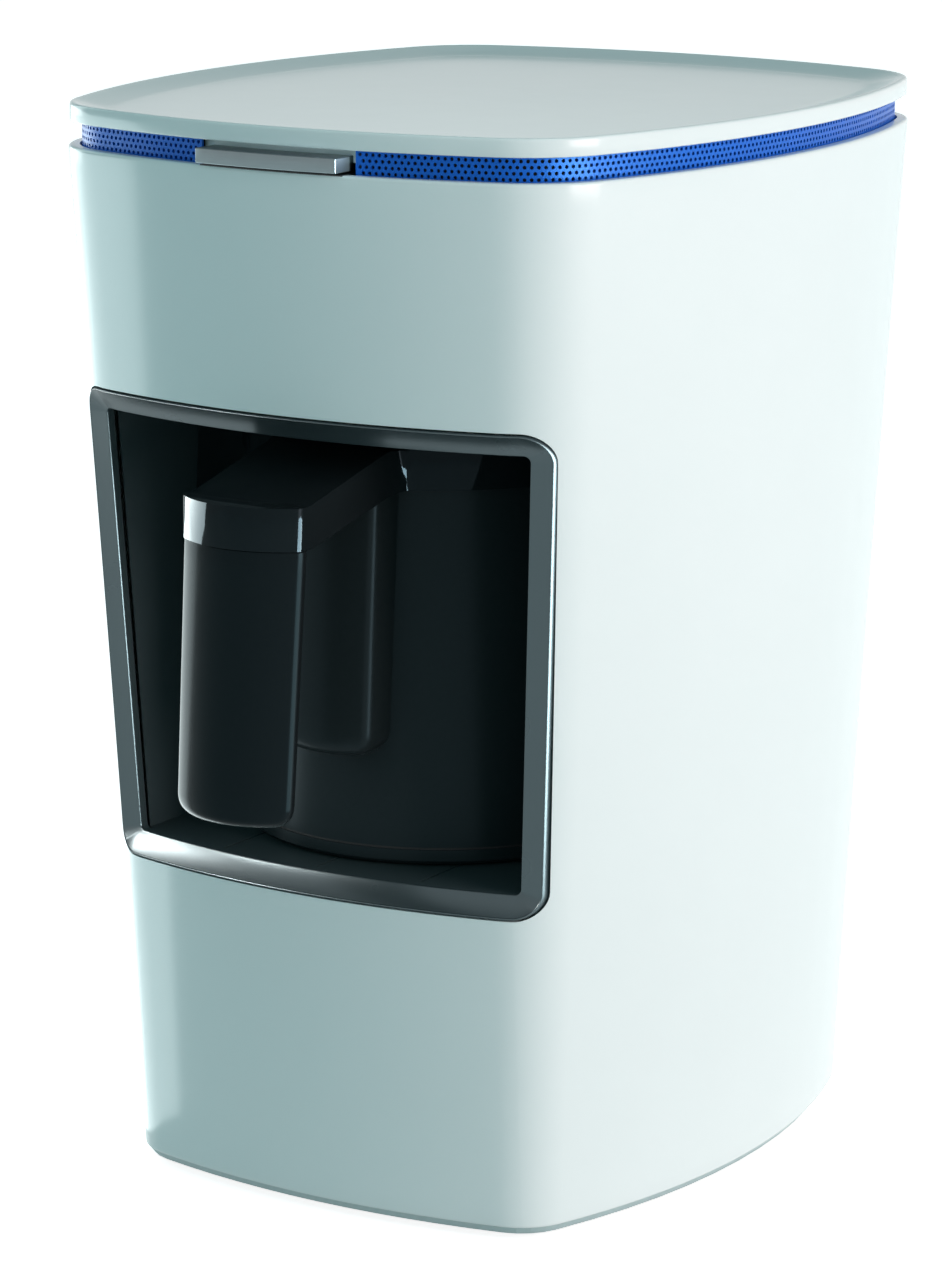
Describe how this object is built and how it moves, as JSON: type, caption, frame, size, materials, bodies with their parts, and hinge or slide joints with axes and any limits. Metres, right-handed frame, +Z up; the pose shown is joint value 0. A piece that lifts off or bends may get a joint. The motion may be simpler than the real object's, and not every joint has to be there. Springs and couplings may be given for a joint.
{
  "type": "coffee maker",
  "caption": "Tapered white countertop coffee maker with a removable pot in an open niche, a slim start bar and a perforated blue band under a dished lid.",
  "frame": {"origin": "centre of the part's box on the surface it stands on, the handle included", "axes": "+Z up, -Y out of the front with the opening and the handle, +X to the right seen from the front"},
  "size_m": [0.1686, 0.2133, 0.258],
  "materials": {
    "white_gloss": "gloss",
    "frame_plastic": "matte",
    "blue_metal": "satin perforated",
    "gunmetal": "dark polished",
    "black_gloss": "gloss",
    "black_matte": "matte",
    "soft_black": "matte",
    "steel": "satin",
    "bar_steel": "brushed",
    "alu": "satin",
    "brass_pin": "polished",
    "copper_coil": "satin",
    "board": "satin",
    "dark_lens": "gloss",
    "blue_can": "satin",
    "core_iron": "matte",
    "green_block": "matte"
  },
  "bodies": {
    "housing": {"outer_shell": "white_gloss", "base_tray": "frame_plastic", "foot_front_left": "soft_black", "foot_front_right": "soft_black", "foot_rear_left": "soft_black", "foot_rear_right": "soft_black", "base_screws": "steel", "vent_band": "blue_metal", "top_frame": "frame_plastic", "top_lid": "white_gloss", "lid_screws": "steel", "bezel_frame": "gunmetal", "bezel_gasket": "soft_black", "cavity_liner": "black_gloss", "cavity_floor": "black_gloss", "heat_shield": "alu", "lower_posts": "frame_plastic", "upper_posts": "frame_plastic", "rear_socket": "black_matte", "contact_pins": "brass_pin", "presence_sensor": "black_matte", "sensor_housing": "black_matte", "sensor_lens": "dark_lens", "control_board": "board", "board_posts": "brass_pin", "buzzer": "black_matte", "start_switch": "black_matte", "power_board": "board", "power_standoffs": "brass_pin", "power_relay": "black_matte", "transformer": "core_iron", "capacitor": "blue_can", "heatsink": "alu", "terminal_block": "green_block", "wire_conduit": "soft_black", "cord_gland": "soft_black", "cord_clamp": "black_matte", "clamp_screws": "steel", "button_guide": "black_matte"},
    "pot": {"pot_body": "black_gloss", "pot_cup": "steel", "pot_collar": "black_gloss", "handle_grip": "black_gloss", "handle_core": "black_matte", "handle_rib": "black_gloss", "handle_screws": "steel", "heater_plate": "alu", "heater_coil": "copper_coil", "pot_base": "black_gloss", "base_seal": "soft_black", "pot_plug": "black_matte", "plug_contacts": "brass_pin"},
    "button": {"start_button": "bar_steel", "button_stems": "black_matte"}
  },
  "joints": [
    {"name": "pot_slide", "type": "slide", "parent": "housing", "child": "pot", "axis": [0, -1, 0], "range_m": [0, 0.14]},
    {"name": "button_press", "type": "slide", "parent": "housing", "child": "button", "axis": [0, 1, 0], "range_m": [0, 0.0015], "stiffness_N_per_m": 500, "springref_m": -0.002}
  ]
}
